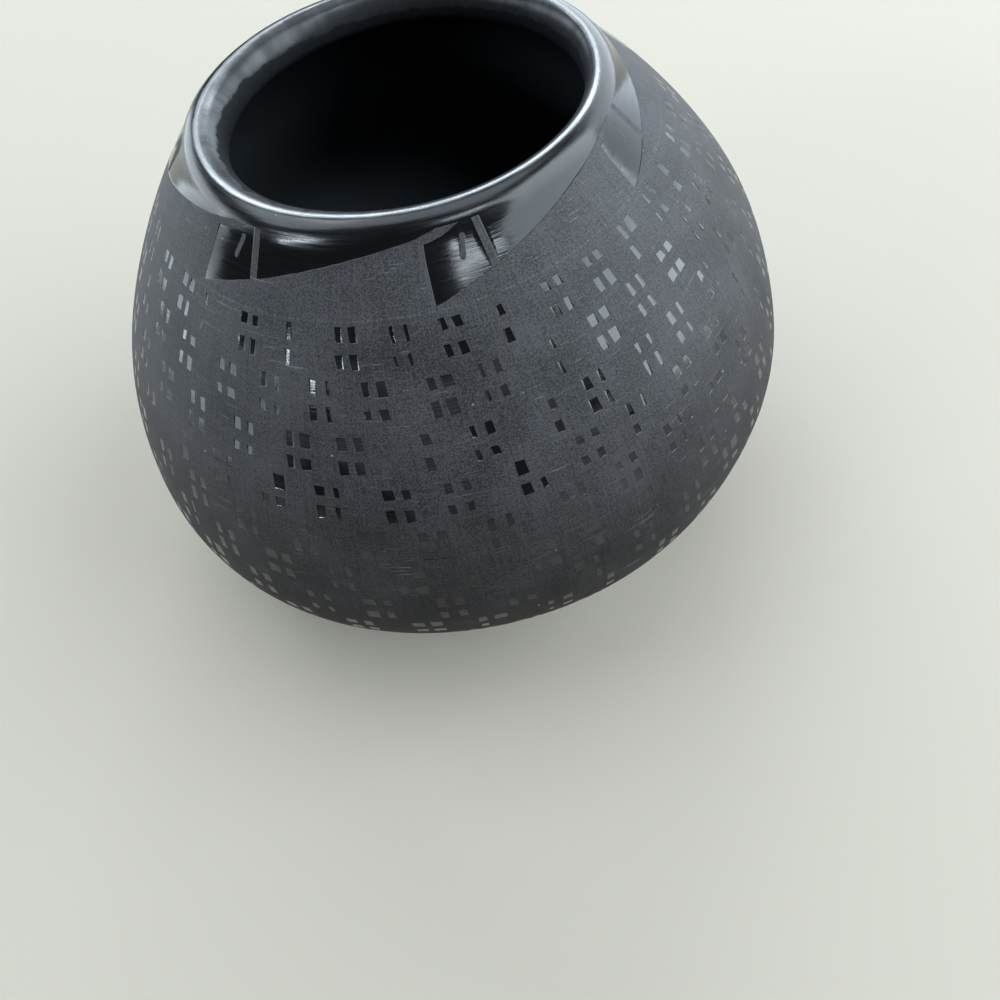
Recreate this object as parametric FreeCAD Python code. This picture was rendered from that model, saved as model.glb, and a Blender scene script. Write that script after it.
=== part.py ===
import FreeCAD, Part
import math
import os

# Small coil-built blackware jar with a closed-in shoulder and a round mouth, in millimetres.
# +Z runs up the jar's axis. The origin is on the standing plane, under the middle of the foot.
# The outer face follows a chain of tangent curves. Its slope is the angle of the outward normal
# above the horizontal: zero at the belly, negative on the lower wall, minus 90 under the foot.
# A place on the wall is given by its run, the length of wall from the standing ring up to it.

# Outer form, from the foot up to the lip
belly_radius = 37.5                 # widest outer radius
heel_curve_radius = 5.0             # round of the heel, where the foot turns up into the wall
lower_curve_radius = 33.8           # curve radius of the lower wall
belly_curve_radius = 14.1           # upright curve radius of the wall at the belly
shoulder_curve_radius = 40.0        # curve radius of the shoulder
neck_curve_radius = 65.0            # curve radius of the flatter wall that closes in towards the mouth
collar_curve_radius = 7.0           # hollow curve that turns the wall up into the collar

# Slopes at which one curve hands over to the next, in degrees
foot_slope_degrees = -90.0
heel_slope_degrees = -65.0
under_belly_slope_degrees = -23.0
over_belly_slope_degrees = 14.3
shoulder_slope_degrees = 34.4
neck_slope_degrees = 49.35
rim_slope_degrees = 36.0
crest_slope_degrees = 90.0
lip_end_slope_degrees = 200.0        # the lip has gone over from the outer face to the inner one

# Clay
wall_thickness = 2.4                # wall from the belly up to the lip
lip_curve_radius = 2.0              # round of the lip outside its crest, and its height
lip_reach = 1.4                     # how far the lip rolls into the mouth from its crest
heel_thickness = 3.8                # wall at the heel, which the lower wall thins away from
floor_thickness = 3.2               # floor inside the standing ring
foot_ring_width = 4.0               # flat ring that the jar stands on
foot_hollow = 0.8                   # hollow pressed up in the middle of the foot

# Coils
pad_wall_run = 4.0                  # run of wall that is pinched up from the base pad
rim_coil_run = 7.0                  # run of wall that the rim coil makes below the lip
joint_lap = 1.5                     # how far each bevelled joint climbs inside, along the wall
low_course_count = 2                # coils between the base pad and the belly
high_course_count = 2               # coils between the belly and the rim coil

# A round face is made of straight bands, none of which turns by more than these, in degrees
band_turn_degrees = 15.0
lip_band_turn_degrees = 45.0


def normal(slope):
    """Outward unit normal of the outer face at a slope, as radius and height."""
    turn = math.radians(slope)
    return (math.cos(turn), math.sin(turn))


def moved(place, direction, distance):
    """A place moved along a direction by a distance."""
    return (place[0] + direction[0] * distance, place[1] + direction[1] * distance)


class Curve:
    """One round stretch of the outer face, from a starting place between two slopes."""

    def __init__(self, start, radius, from_slope, to_slope):
        self.radius = radius
        self.from_slope = from_slope
        self.to_slope = to_slope
        self.centre = moved(start, normal(from_slope), -radius)
        self.length = abs(radius * math.radians(to_slope - from_slope))

    def slope_after(self, run):
        return self.from_slope + (self.to_slope - self.from_slope) * run / self.length

    def at(self, slope, depth=0):
        """Place at a slope, a depth inside the outer face."""
        return moved(self.centre, normal(slope), self.radius - depth)


class Wall:
    """The jar's wall as curves that follow each other from the standing ring to the lip."""

    turns = [
        (heel_curve_radius, foot_slope_degrees, heel_slope_degrees),
        (lower_curve_radius, heel_slope_degrees, under_belly_slope_degrees),
        (belly_curve_radius, under_belly_slope_degrees, over_belly_slope_degrees),
        (shoulder_curve_radius, over_belly_slope_degrees, shoulder_slope_degrees),
        (neck_curve_radius, shoulder_slope_degrees, neck_slope_degrees),
        (-collar_curve_radius, neck_slope_degrees, rim_slope_degrees),
    ]

    def __init__(self):
        self.curves = []
        place = (self.foot_radius(), 0)
        for radius, from_slope, to_slope in self.turns:
            curve = Curve(place, radius, from_slope, to_slope)
            self.curves.append(curve)
            place = curve.at(to_slope)
        self.length = sum(curve.length for curve in self.curves)
        self.neck_end = self.length - self.curves[-1].length
        self.thinned = self.curves[0].length + self.curves[1].length
        self.belly_run = self.thinned + belly_curve_radius * math.radians(-under_belly_slope_degrees)

    def foot_radius(self):
        """Radius of the standing ring's outer edge, measured in from the belly."""
        radius = belly_radius - belly_curve_radius * (1 - normal(under_belly_slope_degrees)[0])
        radius -= lower_curve_radius * (normal(under_belly_slope_degrees)[0] - normal(heel_slope_degrees)[0])
        return radius - heel_curve_radius * (normal(heel_slope_degrees)[0] - normal(foot_slope_degrees)[0])

    def thickness(self, run):
        """Clay at a run: it thins from the heel up to the belly and is even above."""
        heel = self.curves[0].length
        thinned = min(max((run - heel) / (self.thinned - heel), 0), 1)
        return heel_thickness + (wall_thickness - heel_thickness) * thinned

    def find(self, run):
        """The curve at a run, and the slope there."""
        for curve in self.curves[:-1]:
            if run <= curve.length:
                return curve, curve.slope_after(run)
            run -= curve.length
        return self.curves[-1], self.curves[-1].slope_after(run)

    def outside(self, run):
        curve, slope = self.find(run)
        return curve.at(slope)

    def inside(self, run):
        curve, slope = self.find(run)
        return curve.at(slope, self.thickness(run))

    def stretch(self, from_run, to_run):
        """Places on the outer face that split a stretch of it into straight bands."""
        turn = abs(self.find(to_run)[1] - self.find(from_run)[1])
        bands = max(math.ceil(turn / band_turn_degrees), 1)
        step = (to_run - from_run) / bands
        return [self.outside(from_run + step * number) for number in range(bands + 1)]


def turned(places):
    """A closed outline of radius and height, turned into a solid about the jar's axis."""
    corners = [FreeCAD.Vector(radius, 0, height) for radius, height in places]
    face = Part.Face(Part.makePolygon(corners + corners[:1]))
    return face.revolve(FreeCAD.Vector(0, 0, 0), FreeCAD.Vector(0, 0, 1), 360)


def base_pad(wall):
    """Flat pad with a hollow foot, its edge pinched up and bevelled for the first coil."""
    hollow_radius = wall.foot_radius() - foot_ring_width
    edge = wall.inside(pad_wall_run + joint_lap)
    outline = [(0, foot_hollow), (hollow_radius, 0)]
    outline += wall.stretch(0, wall.curves[0].length)
    outline += [
        wall.outside(pad_wall_run),
        edge,
        (edge[0] - (edge[1] - floor_thickness) / math.tan(floor_corner_turn(wall)), floor_thickness),
        (0, floor_thickness),
    ]
    return turned(outline)


def floor_corner_turn(wall):
    """Rise of the inner face above the horizontal where it meets the floor, as an angle."""
    slope = wall.find(pad_wall_run + joint_lap)[1]
    return math.radians(slope - foot_slope_degrees)


def coil_course(wall, from_run, to_run):
    """One coil pinched into a ring of wall, bevelled below and above, thickest at its middle."""
    outline = wall.stretch(from_run, to_run)
    outline += [wall.inside(to_run + joint_lap), wall.inside(from_run + joint_lap)]
    return turned(outline)


def lip_stretch(centre, from_slope, to_slope, reach):
    """Places on the rounded lip after the first one, which is on the face before it."""
    bands = math.ceil((to_slope - from_slope) / lip_band_turn_degrees)
    places = []
    for number in range(1, bands + 1):
        across, up = normal(from_slope + (to_slope - from_slope) * number / bands)
        places.append((centre[0] + across * reach, centre[1] + up * lip_curve_radius))
    return places


def rim_coil(wall, from_run):
    """Last coil: it ends the neck, turns up into a low collar and is rolled over as the lip."""
    outline = wall.stretch(from_run, wall.neck_end)
    outline += wall.stretch(wall.neck_end, wall.length)[1:]
    lip_centre = moved(wall.outside(wall.length), normal(rim_slope_degrees), -lip_curve_radius)
    outline += lip_stretch(lip_centre, rim_slope_degrees, crest_slope_degrees, lip_curve_radius)
    outline += lip_stretch(lip_centre, crest_slope_degrees, lip_end_slope_degrees, lip_reach)
    outline += [wall.inside(wall.neck_end), wall.inside(from_run + joint_lap)]
    return turned(outline)


def even_runs(from_run, to_run, count):
    """Runs that split a stretch of wall into equal coils, without its end."""
    return [from_run + (to_run - from_run) * number / count for number in range(count)]


def jar():
    """Every coil of the jar by name, from the base pad up. One joint runs round the belly."""
    wall = Wall()
    last_joint = wall.length - rim_coil_run
    joints = even_runs(pad_wall_run, wall.belly_run, low_course_count)
    joints += even_runs(wall.belly_run, last_joint, high_course_count)
    joints.append(last_joint)
    pieces = {"base_pad": base_pad(wall)}
    for number in range(len(joints) - 1):
        pieces["coil_course_%d" % (number + 1)] = coil_course(wall, joints[number], joints[number + 1])
    pieces["rim_coil"] = rim_coil(wall, last_joint)
    return pieces


os.makedirs("parts", exist_ok=True)
for name, solid in jar().items():
    solid.exportStep("parts/%s.step" % name)
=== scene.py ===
import math
import random

import bpy
import numpy as np
from mathutils import Matrix, Vector
from mathutils.geometry import delaunay_2d_cdt


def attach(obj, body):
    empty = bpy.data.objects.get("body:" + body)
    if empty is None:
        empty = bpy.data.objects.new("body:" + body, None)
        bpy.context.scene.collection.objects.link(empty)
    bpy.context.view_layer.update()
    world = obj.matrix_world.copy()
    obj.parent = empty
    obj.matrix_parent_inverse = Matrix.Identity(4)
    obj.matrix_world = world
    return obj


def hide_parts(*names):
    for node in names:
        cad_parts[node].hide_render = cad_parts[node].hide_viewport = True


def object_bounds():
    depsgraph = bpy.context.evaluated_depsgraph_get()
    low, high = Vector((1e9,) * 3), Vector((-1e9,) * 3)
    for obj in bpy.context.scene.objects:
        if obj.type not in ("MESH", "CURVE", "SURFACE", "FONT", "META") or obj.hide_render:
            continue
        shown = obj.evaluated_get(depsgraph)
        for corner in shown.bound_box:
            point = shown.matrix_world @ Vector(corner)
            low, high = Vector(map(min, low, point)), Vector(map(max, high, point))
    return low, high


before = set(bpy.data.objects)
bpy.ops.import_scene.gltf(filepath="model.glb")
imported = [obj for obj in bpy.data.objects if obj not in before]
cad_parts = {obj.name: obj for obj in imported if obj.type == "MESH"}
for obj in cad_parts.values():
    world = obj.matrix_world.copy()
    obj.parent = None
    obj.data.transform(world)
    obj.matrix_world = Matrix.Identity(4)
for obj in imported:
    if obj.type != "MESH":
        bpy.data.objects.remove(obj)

# Hand-coiled blackware jar. Its wall is polished black, and a matte slip painted over the polish
# leaves a band of curved tabs under the lip and a chequer of small windows on the body.
# Lengths are millimetres until a place is turned into a Blender one. A place on the wall is an
# angle about the axis and a run, the length of wall from the standing ring up to it.

CAD_LOW, CAD_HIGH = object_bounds()
MM = 0.001
FULL_TURN = 2 * math.pi

# Outer face as round stretches that follow each other from the foot up: curve radius, and the
# slopes of the outward normal above the horizontal at its two ends, in degrees
BELLY_RADIUS = 37.5
HEEL_CURVE = (5.0, -90.0, -65.0)
BELLY_CURVE = (14.1, -23.0, 14.3)
WALL_CURVES = (
    HEEL_CURVE,
    (33.8, -65.0, -23.0),
    BELLY_CURVE,
    (40.0, 14.3, 34.4),
    (65.0, 34.4, 49.35),
    (-7.0, 49.35, 36.0),
)
OUTLINE_STEP = 0.05

# Clay
WALL_THICKNESS = 2.4
LIP_RADIUS = 2.0
LIP_REACH = 1.4
LIP_REACH_CHANGE = 0.4
LIP_REACH_ANGLE = math.radians(185.0)
LIP_END = math.radians(200.0)
UNDER_LIP_RUN = 3.5
UNDER_LIP_PULL = 1.1
HEEL_THICKNESS = 3.8
FLOOR_HEIGHT = 3.2
FOOT_RING_WIDTH = 4.0
FOOT_HOLLOW = 0.8
FOOT_HOLLOW_BEND = 1.5
JOINT_LAP = 1.5

# Coils
PAD_WALL_RUN = 4.0
RIM_COIL_RUN = 7.0
LOW_COURSES = 2
HIGH_COURSES = 2

# Hand-made unevenness
OVAL_SHARE = 0.0183
OVAL_ANGLE = math.radians(42.0)
ROUND_FROM_HEIGHT = 36.5
ROUND_TO_HEIGHT = 52.8
RIM_TILT_SHARE = -0.0115
WAVE_DEPTH = 0.05
WAVES = ((3, 0.9, 0.11), (5, 2.3, -0.17), (7, 4.1, 0.23))

# Mesh. The outer face is cut flat, unrolled at one radius from the seam round to it again.
SIDES = 180
OUTER_STEP = 1.25
INNER_STEP = 1.5
FLOOR_RINGS = 16
FOOT_RINGS = 24
LIP_OUTER_RINGS = 9
LIP_INNER_RINGS = 13
UNDER_LIP_RINGS = 9
CAP_SHARE = 0.02
UNROLL_RADIUS = 30.0
SEAM_ANGLE = math.radians(92.5)
SEAM_END = SEAM_ANGLE + FULL_TURN
FIT_SIDES, FIT_STEPS = 721, 400

# Small step along a surface, and tolerances, in millimetres or radians
NUDGE = 1e-3
WELD_STEP = 1e-4
SAME_RUN = 1e-4
SAME_ANGLE = 1e-7
SEAM_TOLERANCE = 1e-6
CUT_TOLERANCE = 1e-5

# Vectors shorter than these have no direction of their own
LEAST_EDGE = 1e-9
LEAST_NORMAL = 1e-15
LEAST_TRIANGLE = 1e-18

# Painted slip, as thick as its depth, with an edge that slopes down to the polish
PAINT_SEED = 11
SLIP_DEPTH = 0.02
SLIP_EDGE = 0.055
SHARPEST_SLANT = 0.4

# Lower end of the slip, and its waves: depth, count round the jar and start
SLIP_FOOT_RUN = 9.0
SLIP_FOOT_WAVES = ((0.12, 5, 1.0), (0.06, 11, 0.0))
SLIP_FOOT_POINTS = 240
SLIP_FOOT_OVERSHOOT = 1.0

# Chequer of windows: widths in degrees, heights in millimetres
WINDOW_COLUMNS = 36
WINDOW_ROWS = 12
FIRST_ROW_RUN = 28.4
ROW_STEP = 4.2
ROW_SHIFT = 0.12
COLUMN_SHIFT = 0.008
GROUP_LIFT = 0.15
WINDOW_HALF_PITCH = math.radians(1.35)
WINDOW_HALF_RISE = 1.0
WINDOW_WIDTHS = (0.3, 0.55, 0.75, 0.9, 0.95, 1.05, 1.1, 1.2, 1.35, 1.6)
WINDOW_WIDTH_CHANGE = (0.88, 1.12)
WINDOW_HEIGHTS = (0.75, 1.3)
WINDOW_HEIGHT_CHANGE = (0.9, 1.1)
WINDOW_WAVER = 0.035
MISSING_PAIR_CHANCE = 0.07
MISSING_WINDOW_CHANCE = 0.03

# Tabs of the neck band. Heights are runs of wall above the belly.
TABS = 7
TAB_PITCH = FULL_TURN / TABS
FIRST_TAB_ANGLE = math.radians(-93.0)
TAB_SHIFT = 0.015
TAB_PITCHES = 1.27
TAB_LOW = 30.8
TAB_CLIMB = 5.0
TAB_SWELL = 0.55
TAB_TOP = 35.2
TAB_TOP_BEND = 1.6
TAB_OVERSHOOT = 2.0
TAB_SIDE_LEAN = 0.004
TAB_WAVER = 0.02
TAB_LOW_POINTS, TAB_TOP_POINTS, TAB_SIDE_POINTS = 40, 14, 6

# Strokes inside a tab: degrees from its left edge, and rises above the strokes' foot
STROKE_FOOT = 32.2
SHORT_STROKE_DEGREES = (7.5, 8.5)
SHORT_STROKE_RISES = (1.6, 3.0)
SHORT_STROKE_WIDTH = 0.42
LONG_STROKE_DEGREES = (13.4, 12.4)
LONG_STROKE_SHIFT = (-0.3, 0.2)
LONG_STROKE_TOP = 36.5
LONG_STROKE_WIDTH = 0.64
STROKE_END_POINTS = 5

# Faint line drawn round the jar between the tabs and the windows, to set them out
LAYOUT_LINE_HEIGHT = 49.2


def outline():
    """Run, radius, height and slope of the outer face, closely spaced from the foot to the lip."""
    belly_start = math.radians(BELLY_CURVE[1])
    foot_radius = BELLY_RADIUS - BELLY_CURVE[0] * (1 - math.cos(belly_start))
    for radius, start, end in WALL_CURVES[:2]:
        foot_radius -= radius * (math.cos(math.radians(end)) - math.cos(math.radians(start)))
    run, place = 0.0, np.array([foot_radius, 0.0])
    rows = []
    for radius, start, end in WALL_CURVES:
        length = abs(radius * math.radians(end - start))
        slopes = np.radians(np.linspace(start, end, math.ceil(length / OUTLINE_STEP) + 1))
        normals = np.stack([np.cos(slopes), np.sin(slopes)], axis=1)
        places = place + radius * (normals - normals[0])
        runs = run + np.linspace(0.0, length, len(slopes))
        rows.append(np.column_stack([runs, places, slopes])[1 if rows else 0:])
        run, place = run + length, places[-1]
    return np.concatenate(rows).T


RUNS, RADII, HEIGHTS, SLOPES = outline()
WALL_LENGTH = RUNS[-1]
WIDEST = RADII.argmax()
BELLY_HEIGHT = float(np.interp(BELLY_RADIUS, RADII[:WIDEST + 1], HEIGHTS[:WIDEST + 1]))
BELLY_RUN = float(RUNS[WIDEST])
THICK_FROM = HEEL_CURVE[0] * math.radians(HEEL_CURVE[2] - HEEL_CURVE[1])
THIN_FROM = BELLY_RUN - BELLY_CURVE[0] * math.radians(-BELLY_CURVE[1])


def radius_at(run):
    """Radius of the outer face at a run."""
    return np.interp(run, RUNS, RADII)


def uneven(angle, radius, height):
    """Blender places of an angle, radius and height, with the unevenness of a jar made by hand."""
    upper = (height - ROUND_FROM_HEIGHT) / (ROUND_TO_HEIGHT - ROUND_FROM_HEIGHT)
    rounded = np.clip(upper, 0, 1) ** 2
    stretch = 1 + OVAL_SHARE * (1 - rounded) * np.cos(2 * (angle - OVAL_ANGLE))
    wave = sum(np.cos(count * angle + start + lean * height) for count, start, lean in WAVES)
    full = radius * stretch + WAVE_DEPTH * wave * np.clip(radius / BELLY_RADIUS, 0, 1)
    across = full * np.cos(angle)
    tilt = rounded * RIM_TILT_SHARE * across
    return np.stack([across, full * np.sin(angle), height + tilt], axis=-1) * MM * FIT


def fit_to_frame():
    """Share by which the uneven jar is scaled to stay inside the frame's box."""
    angle = np.linspace(0, FULL_TURN, FIT_SIDES)[:, None]
    run = np.linspace(0, WALL_LENGTH, FIT_STEPS)[None, :]
    places = uneven(angle, np.interp(run, RUNS, RADII), np.interp(run, RUNS, HEIGHTS))
    wide = np.abs(places[..., :2]).max() + SLIP_DEPTH * MM
    return min(CAD_HIGH.x, CAD_HIGH.y) / wide


FIT = 1.0    # the share is measured on the jar at its own size
FIT = fit_to_frame()


def thickness(run):
    """Clay at a run: it thins from the heel up to the belly and is even above."""
    thinned = np.clip((run - THICK_FROM) / (THIN_FROM - THICK_FROM), 0, 1)
    return HEEL_THICKNESS + (WALL_THICKNESS - HEEL_THICKNESS) * thinned


def under(run, depth):
    """Radius and height of a place a depth under the outer face."""
    slope = np.interp(run, RUNS, SLOPES)
    radius = np.interp(run, RUNS, RADII) - depth * np.cos(slope)
    return radius, np.interp(run, RUNS, HEIGHTS) - depth * np.sin(slope)


def shell(angle, run, depth):
    """Places a depth under the outer face."""
    return uneven(angle, *under(run, depth))


def outer(angle, run):
    """Places on the outer face."""
    return shell(angle, run, 0.0)


def inner(angle, run):
    """Places on the inner face."""
    return shell(angle, run, thickness(run))


def lip_round(angle, slope):
    """Radius and height on the lip; it reaches unevenly far into the mouth."""
    reach = LIP_REACH + LIP_REACH_CHANGE * np.cos(angle - LIP_REACH_ANGLE)
    across = np.cos(slope)
    middle = RADII[-1] - LIP_RADIUS * math.cos(SLOPES[-1])
    radius = middle + across * np.where(across > 0, LIP_RADIUS, reach)
    return radius, HEIGHTS[-1] + LIP_RADIUS * (np.sin(slope) - math.sin(SLOPES[-1]))


def lip(angle, slope):
    """Rounded lip, from the outer face over to the inner one."""
    return uneven(angle, *lip_round(angle, slope))


def under_lip(angle, share):
    """Inner side of the lip, drawn back in one curve to the inner face of the wall."""
    slope = np.full(np.shape(angle), LIP_END)
    run = np.full(np.shape(angle), WALL_LENGTH - UNDER_LIP_RUN)
    start = np.stack(lip_round(angle, slope))
    end = np.stack(under(run, WALL_THICKNESS))
    ahead = start - np.stack(lip_round(angle, slope - NUDGE))
    back = np.stack(under(run + NUDGE, WALL_THICKNESS)) - end
    near = start + ahead / np.linalg.norm(ahead, axis=0) * UNDER_LIP_PULL
    far = end + back / np.linalg.norm(back, axis=0) * UNDER_LIP_PULL
    left = 1 - share
    curve = start * left ** 3 + 3 * near * left ** 2 * share
    curve = curve + 3 * far * left * share ** 2 + end * share ** 3
    return uneven(angle, curve[0], curve[1])


def pot_floor(angle, share):
    """Floor inside the jar, curved up into the wall at its edge."""
    run = PAD_WALL_RUN + JOINT_LAP
    rise = np.interp(run, RUNS, SLOPES) + math.pi / 2
    edge = np.array(under(run, thickness(run)))
    corner = np.array([edge[0] - (edge[1] - FLOOR_HEIGHT) / math.tan(rise), FLOOR_HEIGHT])
    middle = np.array([0.0, FLOOR_HEIGHT])
    share = np.asarray(share)[..., None]
    curve = edge * (1 - share) ** 2 + corner * 2 * share * (1 - share) + middle * share ** 2
    return uneven(angle, curve[..., 0], curve[..., 1])


def foot(angle, share):
    """Underside: the standing ring, and the hollow pressed up inside it."""
    radius = RADII[0] * (1 - np.asarray(share))
    hollow = np.clip(1 - (radius / (RADII[0] - FOOT_RING_WIDTH)) ** 2, 0, 1)
    return uneven(angle, radius, FOOT_HOLLOW * hollow ** FOOT_HOLLOW_BEND)


def unit(vectors, least):
    """Vectors of length one. One that is shorter than the least length stays short."""
    return vectors / np.maximum(np.linalg.norm(vectors, axis=-1, keepdims=True), least)


def facing(surface, first, second, side):
    """Unit normals of a surface at its two coordinates, by small steps along each."""
    along = surface(first + NUDGE, second) - surface(first - NUDGE, second)
    up = surface(first, second + NUDGE) - surface(first, second - NUDGE)
    return unit(np.cross(along, up) * side, LEAST_NORMAL)


def outer_normals(angle, run):
    """Unit normals of the outer face. At its two ends they are taken a step inside it."""
    return facing(outer, angle, np.clip(run, NUDGE, WALL_LENGTH - NUDGE), 1.0)


def flat_normals(corners, least):
    """Unit normals of triangles, given the places of their corners."""
    return unit(np.cross(corners[:, 1] - corners[:, 0], corners[:, 2] - corners[:, 0]), least)


class Skin:
    """Places, faces, corner normals and materials of one piece, gathered surface by surface."""

    def __init__(self):
        self.places = []
        self.faces = []
        self.normals = []
        self.materials = []
        self.count = 0

    def add(self, places, faces, corner_normals, materials):
        """Faces over places. Each face has a material, and each of its corners a normal."""
        self.places.append(places)
        self.faces.extend([self.count + corner for corner in face] for face in faces)
        self.normals.extend(corner_normals)
        self.materials.extend(materials)
        self.count += len(places)

    def grid(self, surface, angles, seconds, side, material):
        """Turned surface over rings of angles, the rings following the second coordinate."""
        first, second = np.meshgrid(angles, seconds)
        first, second = first.ravel(), second.ravel()
        places = surface(first, second)
        normals = facing(surface, first, second, side * np.sign(seconds[-1] - seconds[0]))
        ring = len(angles)
        faces = []
        for level in range(len(seconds) - 1):
            for number in range(ring):
                a = level * ring + number
                b = level * ring + (number + 1) % ring
                face = (a, b, b + ring, a + ring)
                faces.append(face if side > 0 else face[::-1])
        self.add(places, faces, [normals[list(face)] for face in faces], [material] * len(faces))

    def cap(self, surface, angles, second, normal, material):
        """Closes the middle of a turned surface with a fan."""
        ring = surface(angles, np.full(len(angles), second))
        middle = surface(np.zeros(1), np.ones(1))
        places = np.concatenate([ring, middle])
        faces = []
        for number in range(len(angles)):
            face = (number, (number + 1) % len(angles), len(angles))
            faces.append(face if normal > 0 else face[::-1])
        normals = np.tile([0.0, 0.0, normal], (3, 1))
        self.add(places, faces, [normals] * len(faces), [material] * len(faces))

    def strip(self, first_angles, first, second_angles, second, side, material, normals=None):
        """Joins two rings whose places stand at different angles by a strip of triangles."""
        places = np.concatenate([first, second])
        ring_a, ring_b = len(first), len(second)
        a = b = 0
        faces = []
        while a < ring_a or b < ring_b:
            turn_a = first_angles[(a + 1) % ring_a] + FULL_TURN * ((a + 1) // ring_a)
            turn_b = second_angles[(b + 1) % ring_b] + FULL_TURN * ((b + 1) // ring_b)
            if b >= ring_b or (a < ring_a and turn_a <= turn_b):
                face = (a % ring_a, (a + 1) % ring_a, ring_a + b % ring_b)
                a += 1
            else:
                face = (a % ring_a, ring_a + (b + 1) % ring_b, ring_a + b % ring_b)
                b += 1
            faces.append(face if side > 0 else face[::-1])
        if normals is None:
            flat = flat_normals(places[np.array(faces)], LEAST_NORMAL)
            corner_normals = np.repeat(flat[:, None, :], 3, axis=1)
        else:
            corner_normals = np.concatenate(normals)[np.array(faces)]
        self.add(places, faces, list(corner_normals), [material] * len(faces))

    def mesh(self, name):
        """Mesh with shared places welded and the gathered normals as its own."""
        places = np.concatenate(self.places)
        keys = np.round(places / (MM * WELD_STEP)).astype(np.int64)
        _, first, index = np.unique(keys, axis=0, return_index=True, return_inverse=True)
        index = index.ravel()
        faces, normals, materials = [], [], []
        for face, normal, material in zip(self.faces, self.normals, self.materials):
            corners = [int(index[corner]) for corner in face]
            kept = [n for n, corner in enumerate(corners) if corner != corners[n - 1]]
            if len(kept) < 3:
                continue
            faces.append([corners[n] for n in kept])
            normals.extend(np.asarray(normal)[kept])
            materials.append(material)
        made = bpy.data.meshes.new(name)
        made.from_pydata(places[first].tolist(), [], faces)
        made.polygons.foreach_set("material_index", materials)
        made.polygons.foreach_set("use_smooth", [True] * len(faces))
        made.normals_split_custom_set([tuple(normal) for normal in normals])
        made.update()
        return made


# Slots of every piece's materials
MATTE, BURNISHED, INSIDE = 0, 1, 2


def wavered(points, rng, depth):
    """Points of a painted edge, each moved a little as a brush moves."""
    return [(angle + rng.uniform(-depth, depth) / radius_at(run), run + rng.uniform(-depth, depth))
            for angle, run in points]


def grown(points, distance):
    """A closed outline of angles and runs, moved outwards by a distance all round."""
    flat = np.array([(angle * radius_at(run), run) for angle, run in points])
    before = flat - np.roll(flat, 1, axis=0)
    after = np.roll(flat, -1, axis=0) - flat
    area = np.sum(flat[:, 0] * np.roll(flat[:, 1], -1) - flat[:, 1] * np.roll(flat[:, 0], -1))
    turn = 1.0 if area > 0 else -1.0
    normals = []
    for edge in (before, after):
        normals.append(unit(np.stack([edge[:, 1], -edge[:, 0]], axis=1), LEAST_EDGE) * turn)
    middle = unit(normals[0] + normals[1], LEAST_EDGE)
    slant = np.clip(np.sum(middle * normals[0], axis=1, keepdims=True), SHARPEST_SLANT, 1.0)
    moved = flat + middle * distance / slant
    return [(x / radius_at(run), new_run) for (x, new_run), (_, run) in zip(moved, points)]


def window(angle, run, width, height, rng):
    """One small window that the strokes of slip leave open, its corners cut by hand."""
    half = width / 2
    tall = height / 2
    corners = [(angle - half, run - tall), (angle + half, run - tall),
               (angle + half, run + tall), (angle - half, run + tall)]
    return wavered(corners, rng, WINDOW_WAVER)


def windows(rng):
    """Chequer of two-by-two groups of windows, half a step aside in every other row."""
    step = FULL_TURN / WINDOW_COLUMNS
    found = []
    top_run = BELLY_RUN + FIRST_ROW_RUN
    for row in range(WINDOW_ROWS):
        run = top_run - row * ROW_STEP + rng.uniform(-ROW_SHIFT, ROW_SHIFT)
        for column in range(WINDOW_COLUMNS):
            angle = (column + 0.5 * (row % 2)) * step + rng.gauss(0, COLUMN_SHIFT)
            widths = [rng.choice(WINDOW_WIDTHS) for _ in range(2)]
            heights = [rng.uniform(*WINDOW_HEIGHTS) for _ in range(2)]
            lift = rng.uniform(-GROUP_LIFT, GROUP_LIFT)
            missing_side = rng.choice((-1, 1)) if rng.random() < MISSING_PAIR_CHANCE else 0
            for side, degrees in zip((-1, 1), widths):
                for level, height in zip((-1, 1), heights):
                    if side == missing_side or rng.random() < MISSING_WINDOW_CHANCE:
                        continue
                    width = math.radians(degrees) * rng.uniform(*WINDOW_WIDTH_CHANGE)
                    found.append(window(
                        angle + side * WINDOW_HALF_PITCH,
                        run + lift + level * WINDOW_HALF_RISE,
                        width,
                        height * rng.uniform(*WINDOW_HEIGHT_CHANGE),
                        rng,
                    ))
    return found


def tab_edge(share):
    """Height above the belly of a tab's lower edge, a share of the pitch along it."""
    return TAB_LOW + TAB_CLIMB * share + TAB_SWELL * math.sin(math.pi * min(share, 1.0))


def tab(start, rng):
    """One polished tab of the neck band.

    Its left edge stands upright, and its lower edge sweeps up past the start of the next tab, so
    that its right end is a sliver above that tab's top.
    """
    low = [(start + TAB_PITCH * share, BELLY_RUN + tab_edge(share))
           for share in np.linspace(0, TAB_PITCHES, TAB_LOW_POINTS)]
    tip = low[-1]
    above = WALL_LENGTH + TAB_OVERSHOOT
    sliver = TAB_PITCHES - 1.0
    top_run = BELLY_RUN + TAB_TOP
    drop = tip[1] - BELLY_RUN - TAB_TOP
    top = [(start + TAB_PITCH * share, top_run + drop * (share / sliver) ** TAB_TOP_BEND)
           for share in np.linspace(sliver, 0, TAB_TOP_POINTS)]
    side = [(start - TAB_SIDE_LEAN, run)
            for run in np.linspace(top_run, low[0][1], TAB_SIDE_POINTS)[1:-1]]
    over = [(tip[0], above), (top[0][0], above)]
    return wavered(low, rng, TAB_WAVER) + over + wavered(top + side, rng, TAB_WAVER)


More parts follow.
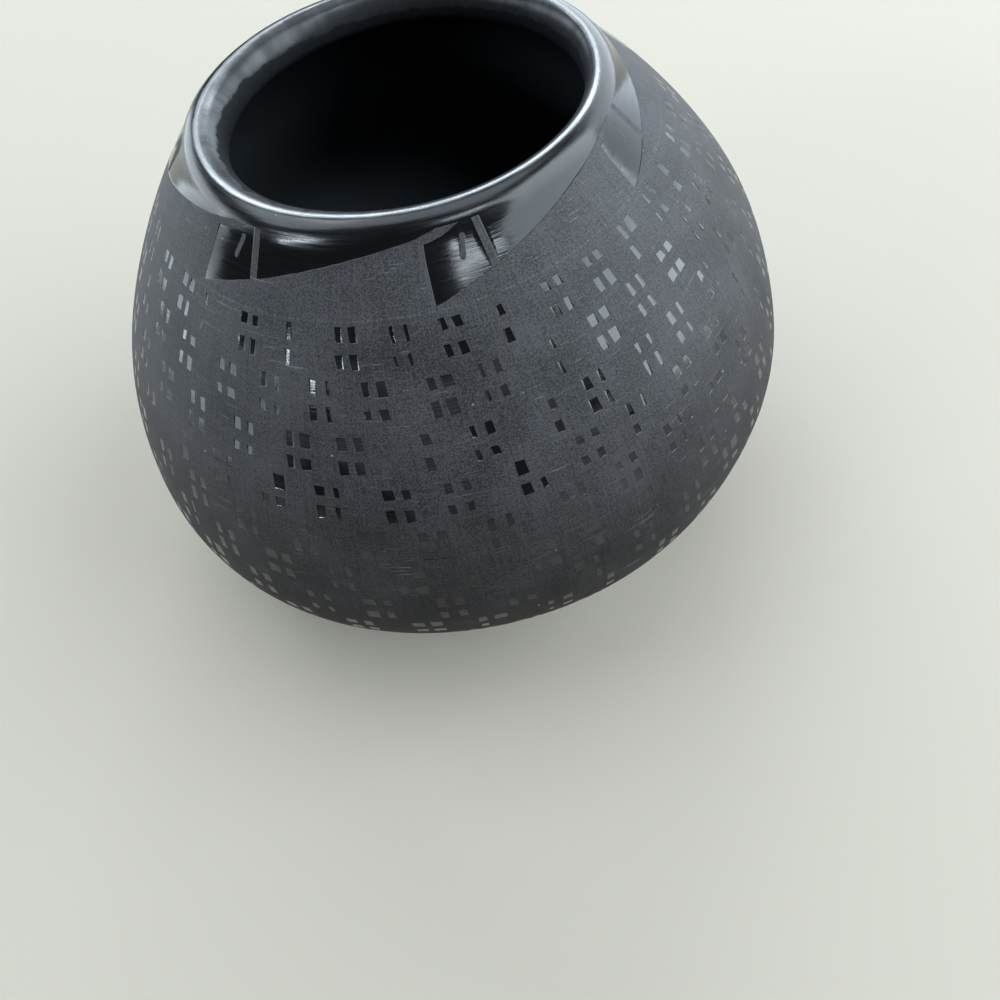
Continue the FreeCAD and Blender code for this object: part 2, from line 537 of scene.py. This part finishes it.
def stroke(start, end, width):
    """One stroke of slip between two places, round at its ends."""
    radius = radius_at(start[1])
    along = np.array([(end[0] - start[0]) * radius, end[1] - start[1]])
    length = np.linalg.norm(along)
    along /= length
    across = np.array([-along[1], along[0]])
    points = []
    for centre, first in ((0.0, math.pi / 2), (length, -math.pi / 2)):
        for turn in np.linspace(0, math.pi, STROKE_END_POINTS):
            ahead = centre + math.cos(first + turn) * width / 2
            offset = along * ahead + across * math.sin(first + turn) * width / 2
            points.append((start[0] + offset[0] / radius, start[1] + offset[1]))
    return points


def tab_strokes(start, rng):
    """The short and the long stroke of slip inside a tab."""
    low = BELLY_RUN + STROKE_FOOT
    short_angles = [start + math.radians(degrees) for degrees in SHORT_STROKE_DEGREES]
    short_runs = [low + rise for rise in SHORT_STROKE_RISES]
    long_angles = [start + math.radians(degrees) for degrees in LONG_STROKE_DEGREES]
    long_runs = [low + rng.uniform(*LONG_STROKE_SHIFT), BELLY_RUN + LONG_STROKE_TOP]
    return [
        stroke(*zip(short_angles, short_runs), SHORT_STROKE_WIDTH),
        stroke(*zip(long_angles, long_runs), LONG_STROKE_WIDTH),
    ]


def rim_of(polygon):
    """Outline of a painted shape together with the sloping edge of slip round it."""
    return grown(polygon, SLIP_EDGE)


def even_rows(low, high):
    """Runs that split a stretch of the outer face into even rows, with both its ends."""
    rows = math.ceil((high - low) / OUTER_STEP)
    return [low + (high - low) * row / rows for row in range(rows + 1)]


class Pattern:
    """Painted outlines in the unrolled wall, laid over a grid and cut into triangles."""

    def __init__(self):
        self.points = []
        self.faces = []
        self.kinds = []
        self.edges = []

    def outline(self, polygon, kind):
        """An outline, and its copies a full turn away where it reaches past the seam."""
        angles = [angle for angle, run in polygon]
        for turns in (-2, -1, 0, 1, 2):
            shift = FULL_TURN * turns
            past_seam = min(angles) + shift > SEAM_END - SEAM_TOLERANCE
            if past_seam or max(angles) + shift < SEAM_ANGLE + SEAM_TOLERANCE:
                continue
            first = len(self.points)
            self.points.extend(((angle + shift) * UNROLL_RADIUS, run) for angle, run in polygon)
            self.faces.append(list(range(first, first + len(polygon))))
            self.kinds.append(kind)

    def line(self, points):
        """A line that the triangles may not cross."""
        first = len(self.points)
        self.points.extend((angle * UNROLL_RADIUS, run) for angle, run in points)
        self.edges.extend((n, n + 1) for n in range(first, first + len(points) - 1))

    def lay_grid(self, levels):
        """Even grid of corners, with lines along the joints and both sides of the seam."""
        angles = SEAM_ANGLE + np.linspace(0, FULL_TURN, SIDES + 1)
        stretches = [even_rows(low, high) for low, high in zip(levels[:-1], levels[1:])]
        for runs in stretches:
            for run in runs[1:-1]:
                self.points.extend((angle * UNROLL_RADIUS, run) for angle in angles[1:-1])
        for run in levels:
            self.line([(angle, run) for angle in angles])
        side = sorted({run for runs in stretches for run in runs})
        for angle in (angles[0], angles[-1]):
            self.line([(angle, run) for run in side])

    def cut(self):
        """Angles and runs of the corners, triangles, and what each triangle is."""
        points = [Vector(point) for point in self.points]
        # Kind 0 fills everything with triangles, and True says which outlines each one is in
        result = delaunay_2d_cdt(points, self.edges, self.faces, 0, CUT_TOLERANCE, True)
        places, triangles, origins = result[0], result[2], result[5]
        flat = np.array([tuple(place) for place in places])
        angle = flat[:, 0] / UNROLL_RADIUS
        run = flat[:, 1]
        kept, kinds = [], []
        for triangle, origin in zip(triangles, origins):
            middle_angle = angle[list(triangle)].mean()
            middle_run = run[list(triangle)].mean()
            if not SEAM_ANGLE < middle_angle < SEAM_END:
                continue
            if not 0 < middle_run < WALL_LENGTH:
                continue
            (ax, ay), (bx, by), (cx, cy) = flat[list(triangle)]
            leftward = (bx - ax) * (cy - ay) - (by - ay) * (cx - ax)
            kept.append(triangle if leftward > 0 else triangle[::-1])
            kinds.append({self.kinds[face] for face in origin})
        return angle, run, np.array(kept), kinds


def painted_wall(levels):
    """Corners, triangles and their painting over the whole outer face."""
    rng = random.Random(PAINT_SEED)
    pattern = Pattern()
    pattern.lay_grid(levels)
    for polygon in windows(rng):
        pattern.outline(polygon, "open")
        pattern.outline(rim_of(polygon), "edge")
    for number in range(TABS):
        start = FIRST_TAB_ANGLE + number * TAB_PITCH + rng.uniform(-TAB_SHIFT, TAB_SHIFT)
        polygon = tab(start, rng)
        pattern.outline(polygon, "open")
        pattern.outline(rim_of(polygon), "edge")
        for shape in tab_strokes(start, rng):
            pattern.outline(shape, "stroke")
            pattern.outline(rim_of(shape), "stroke_edge")
    below = [(SEAM_ANGLE, -SLIP_FOOT_OVERSHOOT), (SEAM_END, -SLIP_FOOT_OVERSHOOT)]
    angles = np.linspace(SEAM_END, SEAM_ANGLE, SLIP_FOOT_POINTS)
    lifts = sum(depth * np.cos(count * angles + start) for depth, count, start in SLIP_FOOT_WAVES)
    band_top = [(angle, SLIP_FOOT_RUN + lift) for angle, lift in zip(angles, lifts)]
    pattern.outline(below + band_top, "open")
    pattern.outline(below + [(angle, run + SLIP_EDGE) for angle, run in band_top], "edge")
    return pattern.cut()


def painting(kinds):
    """Whether a triangle is slip, polish, or the edge of the slip between them."""
    if "stroke" in kinds:
        return "slip"
    if "open" in kinds:
        return "edge" if "stroke_edge" in kinds else "polish"
    return "edge" if "edge" in kinds else "slip"


def joint_runs():
    """Runs of the joints between the coils, one of which goes round the belly."""
    low = np.linspace(PAD_WALL_RUN, BELLY_RUN, LOW_COURSES + 1)
    high = np.linspace(BELLY_RUN, WALL_LENGTH - RIM_COIL_RUN, HIGH_COURSES + 1)
    return [*low, *high[1:]]


def sewn(angle, run):
    """Angles and runs with the two sides of the seam brought to the very same places."""
    left = np.where(angle < SEAM_ANGLE + SEAM_TOLERANCE)[0]
    right = np.where(angle > SEAM_END - SEAM_TOLERANCE)[0]
    angle, run = angle.copy(), run.copy()
    angle[left] = SEAM_ANGLE
    angle[right] = SEAM_ANGLE
    for corner in right:
        run[corner] = run[left[np.abs(run[left] - run[corner]).argmin()]]
    return angle, run


class Wall:
    """The painted outer face, ready to be shared out among the coils."""

    def __init__(self):
        self.levels = [0.0] + joint_runs() + [WALL_LENGTH]
        angle, run, self.triangles, kinds = painted_wall(self.levels)
        self.angle, self.run = angle, run = sewn(angle, run)
        self.paint = np.array([painting(kind) for kind in kinds])
        bare = np.zeros(len(angle), bool)
        bare[self.triangles[self.paint == "polish"].ravel()] = True
        self.places = shell(angle, run, np.where(bare, 0.0, -SLIP_DEPTH))
        self.normals = outer_normals(angle, run)
        self.middle_run = run[self.triangles].mean(axis=1)

    def patch(self, skin, low, high):
        """Adds the outer face between two runs to a piece's skin."""
        chosen = (self.middle_run > low) & (self.middle_run < high)
        triangles = self.triangles[chosen]
        paint = self.paint[chosen]
        used, corners = np.unique(triangles, return_inverse=True)
        corners = corners.reshape(triangles.shape)
        places = self.places[used]
        normals = self.normals[used][corners]
        edge = paint == "edge"
        normals[edge] = flat_normals(places[corners], LEAST_TRIANGLE)[edge][:, None, :]
        materials = np.where(paint == "slip", MATTE, BURNISHED).tolist()
        skin.add(places, [tuple(face) for face in corners], list(normals), materials)

    def ring(self, run):
        """Angles and places of the outer face's corners along a joint, in order round the jar."""
        found = np.where(np.abs(self.run - run) < SAME_RUN)[0]
        found = np.intersect1d(found, self.triangles)
        order = found[np.argsort(self.angle[found])]
        order = order[np.concatenate([[True], np.diff(self.angle[order]) > SAME_ANGLE])]
        return self.angle[order], self.places[order]


# Angles of every ring of corners that isn't on the outer face
RING = SEAM_ANGLE + np.linspace(0, FULL_TURN, SIDES, endpoint=False)


def close_joint(skin, wall, run, side):
    """Bevelled face of a coil where it meets its neighbour."""
    angles, places = wall.ring(run)
    end = inner(RING, np.full(SIDES, run + JOINT_LAP))
    skin.strip(angles, places, RING, end, side, INSIDE)


def close_end(skin, wall, run, surface, second, side):
    """Strip of polish from an end of the outer face to the next ring of the surface after it."""
    angles, places = wall.ring(run)
    seconds = np.full(SIDES, second)
    end = surface(RING, seconds)
    normals = outer_normals(angles, run), facing(surface, RING, seconds, side)
    skin.strip(angles, places, RING, end, side, BURNISHED, normals)


def inner_levels(high, low):
    """Runs of the rings on the inner face, from a high one down to a low one."""
    return np.linspace(high, low, max(math.ceil((high - low) / INNER_STEP), 1) + 1)


def base_skin(wall):
    """Base pad: heel and lower wall, joint, floor and foot."""
    skin = Skin()
    wall.patch(skin, wall.levels[0], wall.levels[1])
    close_joint(skin, wall, wall.levels[1], 1.0)
    shares = 1 - np.linspace(1, CAP_SHARE, FLOOR_RINGS)
    skin.grid(pot_floor, RING, shares, 1.0, INSIDE)
    skin.cap(pot_floor, RING, shares[-1], 1.0, INSIDE)
    shares = 1 - np.linspace(1, CAP_SHARE, FOOT_RINGS)
    close_end(skin, wall, 0.0, foot, shares[1], -1.0)
    skin.grid(foot, RING, shares[1:], -1.0, BURNISHED)
    skin.cap(foot, RING, shares[-1], -1.0, BURNISHED)
    return skin


def course_skin(wall, number):
    """A coil of the wall: outer face, both joints and inner face."""
    skin = Skin()
    low, high = wall.levels[number], wall.levels[number + 1]
    wall.patch(skin, low, high)
    close_joint(skin, wall, low, -1.0)
    close_joint(skin, wall, high, 1.0)
    skin.grid(inner, RING, inner_levels(high + JOINT_LAP, low + JOINT_LAP), 1.0, INSIDE)
    return skin


def rim_skin(wall):
    """Rim coil: neck and collar, joint, rolled lip and inner face."""
    skin = Skin()
    low = wall.levels[-2]
    wall.patch(skin, low, WALL_LENGTH)
    close_joint(skin, wall, low, -1.0)
    crest = math.pi / 2
    slopes = np.linspace(SLOPES[-1], crest, LIP_OUTER_RINGS)
    close_end(skin, wall, WALL_LENGTH, lip, slopes[1], 1.0)
    skin.grid(lip, RING, slopes[1:], 1.0, BURNISHED)
    skin.grid(lip, RING, np.linspace(crest, LIP_END, LIP_INNER_RINGS), 1.0, INSIDE)
    skin.grid(under_lip, RING, np.linspace(0, 1, UNDER_LIP_RINGS), 1.0, INSIDE)
    levels = inner_levels(WALL_LENGTH - UNDER_LIP_RUN, low + JOINT_LAP)
    skin.grid(inner, RING, levels, 1.0, INSIDE)
    return skin


# Shader helpers

def new_material(name):
    """A material with an empty principled shader, and its node tree."""
    material = bpy.data.materials.new(name)
    material.use_nodes = True
    tree = material.node_tree
    return material, tree, tree.nodes["Principled BSDF"]


def wire(tree, socket, value):
    """Gives an input a number, a colour or another node's output."""
    if isinstance(value, bpy.types.NodeSocket):
        tree.links.new(value, socket)
    else:
        socket.default_value = value


def sum_of(tree, kind, first, second=0.0, third=0.0):
    """One arithmetic step on numbers."""
    node = tree.nodes.new("ShaderNodeMath")
    node.operation = kind
    for socket, value in zip(node.inputs, (first, second, third)):
        wire(tree, socket, value)
    return node.outputs[0]


def millimetres(tree):
    """Place on the jar, in millimetres."""
    source = tree.nodes.new("ShaderNodeTexCoord")
    scale = tree.nodes.new("ShaderNodeVectorMath")
    scale.operation = "SCALE"
    scale.inputs["Scale"].default_value = 1 / MM
    tree.links.new(source.outputs["Object"], scale.inputs[0])
    return scale.outputs[0]


def split(tree, vector):
    """The three numbers of a vector."""
    node = tree.nodes.new("ShaderNodeSeparateXYZ")
    tree.links.new(vector, node.inputs[0])
    return node.outputs[0], node.outputs[1], node.outputs[2]


def joined(tree, x, y, z):
    """A vector made of three numbers."""
    node = tree.nodes.new("ShaderNodeCombineXYZ")
    for socket, value in zip(node.inputs, (x, y, z)):
        wire(tree, socket, value)
    return node.outputs[0]


def noise(tree, vector, scale, detail=2.0, rough=0.5):
    """Cloudy noise about one half, in steps of one over its scale."""
    node = tree.nodes.new("ShaderNodeTexNoise")
    tree.links.new(vector, node.inputs["Vector"])
    node.inputs["Scale"].default_value = scale
    node.inputs["Detail"].default_value = detail
    node.inputs["Roughness"].default_value = rough
    return node.outputs["Fac"]


def drawn(tree, place, around, along, detail=2.0, rough=0.5):
    """Noise in strokes drawn round the jar or up it, with so many steps per radian each way."""
    x, y, z = split(tree, place)
    squares = sum_of(tree, "ADD", sum_of(tree, "MULTIPLY", x, x), sum_of(tree, "MULTIPLY", y, y))
    radius = sum_of(tree, "SQRT", squares)
    rise = sum_of(tree, "SUBTRACT", z, BELLY_HEIGHT)
    latitude = sum_of(tree, "ARCTAN2", rise, radius)
    vector = joined(
        tree,
        sum_of(tree, "MULTIPLY", sum_of(tree, "DIVIDE", x, radius), around),
        sum_of(tree, "MULTIPLY", sum_of(tree, "DIVIDE", y, radius), around),
        sum_of(tree, "MULTIPLY", latitude, along),
    )
    return noise(tree, vector, 1.0, detail, rough)


def speckle(tree, vector, scale, size):
    """Sparse round specks: one where they are, and zero between them."""
    node = tree.nodes.new("ShaderNodeTexVoronoi")
    tree.links.new(vector, node.inputs["Vector"])
    node.inputs["Scale"].default_value = scale
    chance = split(tree, node.outputs["Color"])[0]
    reach = sum_of(tree, "MULTIPLY", spread(tree, chance, BARE_SHARE, 1.0), size)
    inside = sum_of(tree, "SUBTRACT", reach, node.outputs["Distance"])
    return spread(tree, inside, 0.0, size * SPECK_EDGE)


def spread(tree, value, low, high, to_low=0.0, to_high=1.0):
    """A number taken from one range to another, and held at the ends."""
    node = tree.nodes.new("ShaderNodeMapRange")
    for name, number in (("Value", value), ("From Min", low), ("From Max", high),
                         ("To Min", to_low), ("To Max", to_high)):
        wire(tree, node.inputs[name], number)
    return node.outputs["Result"]


def blend(tree, share, first, second):
    """Two colours mixed by a share."""
    node = tree.nodes.new("ShaderNodeMix")
    node.data_type = "RGBA"
    wire(tree, node.inputs["Factor"], share)
    wire(tree, node.inputs[6], first)
    wire(tree, node.inputs[7], second)
    return node.outputs[2]


def bump(tree, height, distance, coarser=None):
    """Relief of a height between zero and one, so many millimetres deep, over a coarser relief."""
    node = tree.nodes.new("ShaderNodeBump")
    node.inputs["Strength"].default_value = 1.0
    node.inputs["Distance"].default_value = distance * MM
    tree.links.new(height, node.inputs["Height"])
    if coarser is not None:
        tree.links.new(coarser, node.inputs["Normal"])
    return node.outputs["Normal"]


# Materials. A noise has steps per millimetre, a drawn one per radian, and then detail and
# roughness. A spread names the noise values where a mark starts and where it is full.

# Specks: share of their cells that stay bare, and the soft edge as a share of their size
BARE_SHARE = 0.55
SPECK_EDGE = 0.25

# Colours, in linear light. Of a pair, the first is where the noise is low.
# Pale colour of dust specks on the polish, and of the painted highlight along the crest of the lip
DUST_AND_CREST_HIGHLIGHT = (0.15, 0.153, 0.157, 1.0)
SCRATCHED_SLIP = (0.16, 0.163, 0.167, 1.0)
SLIP = ((0.0063, 0.006, 0.0066, 1.0), (0.0432, 0.0418, 0.045, 1.0))
PAINTED_SHADE_LOW_SLIP = (0.0056, 0.0032, 0.0014, 1.0)
# Darker, warmer slip towards the bottom of the body: painted shade
POLISH = (0.0035, 0.0035, 0.0038, 1.0)
DULL_POLISH = (0.0165, 0.016, 0.0172, 1.0)
INNER_POLISH = (0.019, 0.0195, 0.021, 1.0)
SOOT = ((0.004, 0.004, 0.005, 1.0), (0.014, 0.015, 0.016, 1.0))
# Lighter colour deep inside the jar: painted light that lifts the shaded interior
INSIDE_PAINTED_LIGHT = ((0.03, 0.034, 0.038, 1.0), (0.06, 0.068, 0.075, 1.0))

# Distances from the middle of the layout line over which it fades
LAYOUT_LINE_FADE = (0.02, 0.08)

# Heights between which one look passes over to another
# Painted shade on the slip is strongest at the first height and gone at the second
PAINTED_SHADE_LOW_SLIP_HEIGHTS = (12.0, 40.0)
DULL_POLISH_HEIGHTS = (46.0, 49.0)
COLLAR_HEIGHTS = (46.0, 50.0)
LIP_HEIGHTS = (52.6, 53.4)
CREST_HEIGHTS = (52.6, 53.0)
# Painted light inside is full below the first height and gone above the second
INSIDE_PAINTED_LIGHT_HEIGHTS = (40.0, 50.0)

# The polish inside the lip ends in a ragged line, which leans with x and y
INNER_POLISH_HEIGHTS = (53.3, 53.45)
INNER_POLISH_RAGGED = 1.0
INNER_POLISH_LEAN = (0.025, 0.056)


def painted_crest_highlight(tree, place, height):
    """How much a painted highlight lightens the crest of the lip: a pale ridge where the shading
    normal points up, and pale flecks along it.
    """
    source = tree.nodes.new("ShaderNodeNewGeometry")
    up = split(tree, source.outputs["Normal"])[2]
    broken = drawn(tree, place, 14.0, 20.0, 3.0, 0.6)
    # Painted highlight: a pale ridge where the shading normal points straight up, broken by noise
    level = sum_of(tree, "MULTIPLY_ADD", broken, 0.012, up)
    ridge = spread(tree, level, 0.993, 1.004, 0.0, 0.85)
    # Pale flecks along the crest, also painted highlight
    flecks = speckle(tree, place, 1.3, 0.14)
    flecks = sum_of(tree, "MULTIPLY", flecks, spread(tree, broken, 0.5, 0.6))
    painted_highlight = sum_of(tree, "MAXIMUM", ridge, flecks)
    return sum_of(tree, "MULTIPLY", painted_highlight, spread(tree, height, *CREST_HEIGHTS))


def matte_slip():
    """Dark blue-grey slip, brushed on and left unpolished, with painted shade that darkens it
    towards the bottom.
    """
    material, tree, shader = new_material("matte_slip")
    place = millimetres(tree)
    clouds = noise(tree, place, 0.16, 4.0, 0.55)
    grain = noise(tree, place, 7.0, 4.0, 0.8)
    brushed = drawn(tree, place, 150.0, 6.0, 3.0, 0.6)
    wiped = drawn(tree, place, 4.0, 170.0, 3.0, 0.65)
    tone = grain
    for layer, weight in ((clouds, 0.25), (brushed, 0.15), (wiped, 0.09)):
        tone = sum_of(tree, "MULTIPLY_ADD", layer, weight, tone)
    colour = blend(tree, spread(tree, tone, 0.66, 0.83), *SLIP)
    height = split(tree, place)[2]
    # Painted shade: the slip turns darker and warmer towards the bottom
    upper = spread(tree, height, *PAINTED_SHADE_LOW_SLIP_HEIGHTS)
    colour = blend(tree, spread(tree, upper, 0.0, 1.0, 0.75, 0.0), colour, PAINTED_SHADE_LOW_SLIP)
    scratches = spread(tree, drawn(tree, place, 9.0, 420.0), 0.65, 0.74)
    patches = spread(tree, noise(tree, place, 0.22), 0.44, 0.58, 0.0, 0.6)
    scratched = sum_of(tree, "MULTIPLY", scratches, patches)
    off_line = sum_of(tree, "ABSOLUTE", sum_of(tree, "SUBTRACT", height, LAYOUT_LINE_HEIGHT))
    on_line = spread(tree, off_line, *LAYOUT_LINE_FADE, 1.0, 0.0)
    line = sum_of(tree, "MULTIPLY", on_line, spread(tree, brushed, 0.45, 0.6, 0.0, 0.22))
    dust = speckle(tree, place, 0.75, 0.095)
    marks = sum_of(tree, "MAXIMUM", sum_of(tree, "MAXIMUM", scratched, line), dust)
    colour = blend(tree, marks, colour, SCRATCHED_SLIP)
    wire(tree, shader.inputs["Base Color"], colour)
    wire(tree, shader.inputs["Roughness"], spread(tree, grain, 0.3, 0.7, 0.56, 0.72))
    wire(tree, shader.inputs["Specular IOR Level"], spread(tree, upper, 0.0, 1.0, 0.08, 0.25))
    relief = bump(tree, brushed, 0.004)
    wire(tree, shader.inputs["Normal"], bump(tree, grain, 0.012, relief))
    return material


def burnished_slip():
    """Black slip rubbed with a stone along the parallels, with the marks it leaves, dust specks,
    and a painted highlight on the crest of the lip.
    """
    material, tree, shader = new_material("burnished_slip")
    place = millimetres(tree)
    height = split(tree, place)[2]
    lip_share = spread(tree, height, *LIP_HEIGHTS)
    dull = spread(tree, noise(tree, place, 0.1), 0.49, 0.59, 0.0, 0.85)
    dull = sum_of(tree, "MULTIPLY", dull, spread(tree, height, *DULL_POLISH_HEIGHTS, 1.0, 0.0))
    colour = blend(tree, dull, POLISH, DULL_POLISH)
    dust = speckle(tree, place, 0.45, 0.07)
    # Dust specks, and the painted highlight on the crest of the lip
    marks = sum_of(tree, "MAXIMUM", dust, painted_crest_highlight(tree, place, height))
    colour = blend(tree, marks, colour, DUST_AND_CREST_HIGHLIGHT)
    wire(tree, shader.inputs["Base Color"], colour)
    streaks = drawn(tree, place, 5.0, 210.0, 3.0, 0.6)
    facets = drawn(tree, place, 2.5, 22.0)
    rough = spread(tree, streaks, 0.35, 0.7, 0.07, 0.2)
    rough = sum_of(tree, "MULTIPLY_ADD", dull, 0.14, rough)
    rough = sum_of(tree, "MULTIPLY_ADD", lip_share, 0.1, rough)
    wire(tree, shader.inputs["Roughness"], rough)
    shine = spread(tree, height, *COLLAR_HEIGHTS, 0.42, 0.24)
    shine = sum_of(tree, "MULTIPLY_ADD", lip_share, 0.12, shine)
    wire(tree, shader.inputs["Specular IOR Level"], shine)
    relief = bump(tree, facets, 0.012)
    wire(tree, shader.inputs["Normal"], bump(tree, streaks, 0.006, relief))
    return material


def smoked_inside():
    """Inner face: polished a finger deep below the lip, rough and sooty further down, with painted
    light that turns it lighter deep inside and a painted highlight on the crest of the lip.
    """
    material, tree, shader = new_material("smoked_inside")
    place = millimetres(tree)
    x, y, height = split(tree, place)
    ragged = drawn(tree, place, 9.0, 3.0, 4.0, 0.65)
    edge = height
    for change, weight in zip((ragged, x, y), (INNER_POLISH_RAGGED, *INNER_POLISH_LEAN)):
        edge = sum_of(tree, "MULTIPLY_ADD", change, weight, edge)
    polished = spread(tree, edge, *INNER_POLISH_HEIGHTS)
    grain = noise(tree, place, 2.2, 4.0, 0.65)
    scraped = drawn(tree, place, 4.0, 60.0, 3.0, 0.6)
    soot_and_painted_light = blend(tree, grain, *SOOT)
    # Painted light: the inside turns lighter deeper down, where little light reaches
    painted_inside_light = blend(tree, grain, *INSIDE_PAINTED_LIGHT)
    soot_and_painted_light = blend(tree, spread(tree, height, *INSIDE_PAINTED_LIGHT_HEIGHTS, 1.0, 0.0), soot_and_painted_light, painted_inside_light)
    colour = blend(tree, polished, soot_and_painted_light, INNER_POLISH)
    # Painted highlight on the crest of the lip
    colour = blend(tree, painted_crest_highlight(tree, place, height), colour, DUST_AND_CREST_HIGHLIGHT)
    wire(tree, shader.inputs["Base Color"], colour)
    rough = spread(tree, grain, 0.3, 0.7, 0.5, 0.75)
    shine = spread(tree, scraped, 0.3, 0.7, 0.24, 0.38)
    mixed = sum_of(tree, "MULTIPLY_ADD", polished, sum_of(tree, "SUBTRACT", shine, rough), rough)
    wire(tree, shader.inputs["Roughness"], mixed)
    patchy = spread(tree, drawn(tree, place, 5.0, 12.0, 4.0, 0.7), 0.35, 0.65, 0.06, 0.34)
    shiny = sum_of(tree, "MULTIPLY_ADD", polished, patchy, 0.04)
    wire(tree, shader.inputs["Specular IOR Level"], shiny)
    relief = bump(tree, scraped, 0.012)
    wire(tree, shader.inputs["Normal"], bump(tree, grain, 0.012, relief))
    return material


def make_piece(node, skin, materials):
    """Blender object that stands for a CAD node."""
    piece = bpy.data.objects.new(node + "_fired", skin.mesh(node + "_fired"))
    bpy.context.scene.collection.objects.link(piece)
    for material in materials:
        piece.data.materials.append(material)
    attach(piece, "root")
    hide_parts(node)


def make_jar():
    """Every coil of the jar, from the base pad up."""
    wall = Wall()
    materials = [matte_slip(), burnished_slip(), smoked_inside()]
    make_piece("base_pad", base_skin(wall), materials)
    for number in range(1, LOW_COURSES + HIGH_COURSES + 1):
        make_piece("coil_course_%d" % number, course_skin(wall, number), materials)
    make_piece("rim_coil", rim_skin(wall), materials)


# Camera, measured from the photograph's perspective
CAMERA_PLACE = (0.0, -62.4, 86.9)
CAMERA_LENS = 25.2
CAMERA_SENSOR = 36.0
CAMERA_NEAR = 0.005
CAMERA_PITCH = 59.37
CAMERA_YAW = -0.3
CAMERA_ROLL = -13.86


def make_camera():
    """Camera that sees the jar as the photograph does."""
    data = bpy.data.cameras.new("camera")
    data.lens = CAMERA_LENS
    data.sensor_width = CAMERA_SENSOR
    data.clip_start = CAMERA_NEAR
    camera = bpy.data.objects.new("camera", data)
    bpy.context.scene.collection.objects.link(camera)
    turn = Matrix.Rotation(math.radians(CAMERA_YAW), 4, "Z")
    turn = turn @ Matrix.Rotation(math.radians(90.0 - CAMERA_PITCH), 4, "X")
    turn = turn @ Matrix.Rotation(math.radians(CAMERA_ROLL), 4, "Z")
    camera.matrix_world = Matrix.Translation(Vector(CAMERA_PLACE) * MM * FIT) @ turn
    bpy.context.scene.camera = camera


# Room: even light, the backdrop that the camera sees instead, and the floor
ROOM_LIGHT = (0.042, 0.048, 0.053, 1.0)
BACKDROP = (0.83, 0.84, 0.83, 1.0)
FLOOR_COLOUR = (0.29, 0.26, 0.214, 1.0)
FLOOR_ROUGHNESS = 0.9
FLOOR_HALF = 0.75

# Broad windows to the right and behind, a high and two low ones to the left, and a lamp over the
# shoulder. Each box has an azimuth and an elevation in degrees, then a distance, a width and a
# height in metres, then the radiance of its face.
LIGHT_COLOUR = (0.80, 0.91, 1.0)
SOFTBOXES = {
    "right_window": (-15.0, 27.0, 0.8, 0.72, 0.85, 7.9),
    "right_rear_window": (44.0, 19.0, 0.8, 1.0, 0.58, 3.7),
    "overhead": (82.0, 78.0, 0.8, 0.66, 0.5, 3.2),
    "left_high_window": (152.0, 56.0, 0.8, 0.6, 0.36, 4.4),
    "back_window": (88.0, 38.0, 0.9, 0.7, 0.11, 26.0),
    "left_rear_window": (140.0, 11.0, 0.8, 0.7, 0.36, 3.4),
    "left_window": (180.0, 8.0, 0.8, 0.58, 0.28, 3.2),
    "front_fill": (-46.0, 28.0, 0.8, 0.3, 0.28, 0.9),
    "front_lamp": (-63.0, 55.0, 0.8, 0.28, 0.07, 24.0),
    "left_strip": (-155.0, 29.0, 0.8, 0.28, 0.022, 70.0),
}


def softbox(name, azimuth, elevation, distance, width, height, radiance):
    """Area light that faces the jar from a direction, at a stated brightness of its face."""
    data = bpy.data.lights.new(name, "AREA")
    data.shape = "RECTANGLE"
    data.size = width
    data.size_y = height
    data.color = LIGHT_COLOUR
    data.energy = radiance * width * height * math.pi / (sum(LIGHT_COLOUR) / 3)
    light = bpy.data.objects.new(name, data)
    bpy.context.scene.collection.objects.link(light)
    turn, rise = math.radians(azimuth), math.radians(elevation)
    level = math.cos(rise)
    direction = Vector((math.cos(turn) * level, math.sin(turn) * level, math.sin(rise)))
    light.location = Vector((0.0, 0.0, BELLY_HEIGHT * MM)) + direction * distance
    light.rotation_mode = "QUATERNION"
    light.rotation_quaternion = direction.to_track_quat("Z", "Y")


def make_world():
    """Dim even room light, which the camera itself sees as a pale backdrop."""
    world = bpy.data.worlds.new("room")
    bpy.context.scene.world = world
    world.use_nodes = True
    tree = world.node_tree
    background = tree.nodes["Background"]
    path = tree.nodes.new("ShaderNodeLightPath")
    colour = blend(tree, path.outputs["Is Camera Ray"], ROOM_LIGHT, BACKDROP)
    wire(tree, background.inputs["Color"], colour)


def make_floor():
    """Plain pale floor."""
    sides = ((-1, -1), (1, -1), (1, 1), (-1, 1))
    corners = [(x * FLOOR_HALF, y * FLOOR_HALF, 0) for x, y in sides]
    mesh = bpy.data.meshes.new("floor")
    mesh.from_pydata(corners, [], [(0, 1, 2, 3)])
    floor = bpy.data.objects.new("floor", mesh)
    bpy.context.scene.collection.objects.link(floor)
    material, _, shader = new_material("pale_floor")
    shader.inputs["Base Color"].default_value = FLOOR_COLOUR
    shader.inputs["Roughness"].default_value = FLOOR_ROUGHNESS
    mesh.materials.append(material)


make_jar()
make_camera()
make_world()
make_floor()
for box, numbers in SOFTBOXES.items():
    softbox(box, *numbers)
bpy.context.scene.view_settings.view_transform = "Standard"
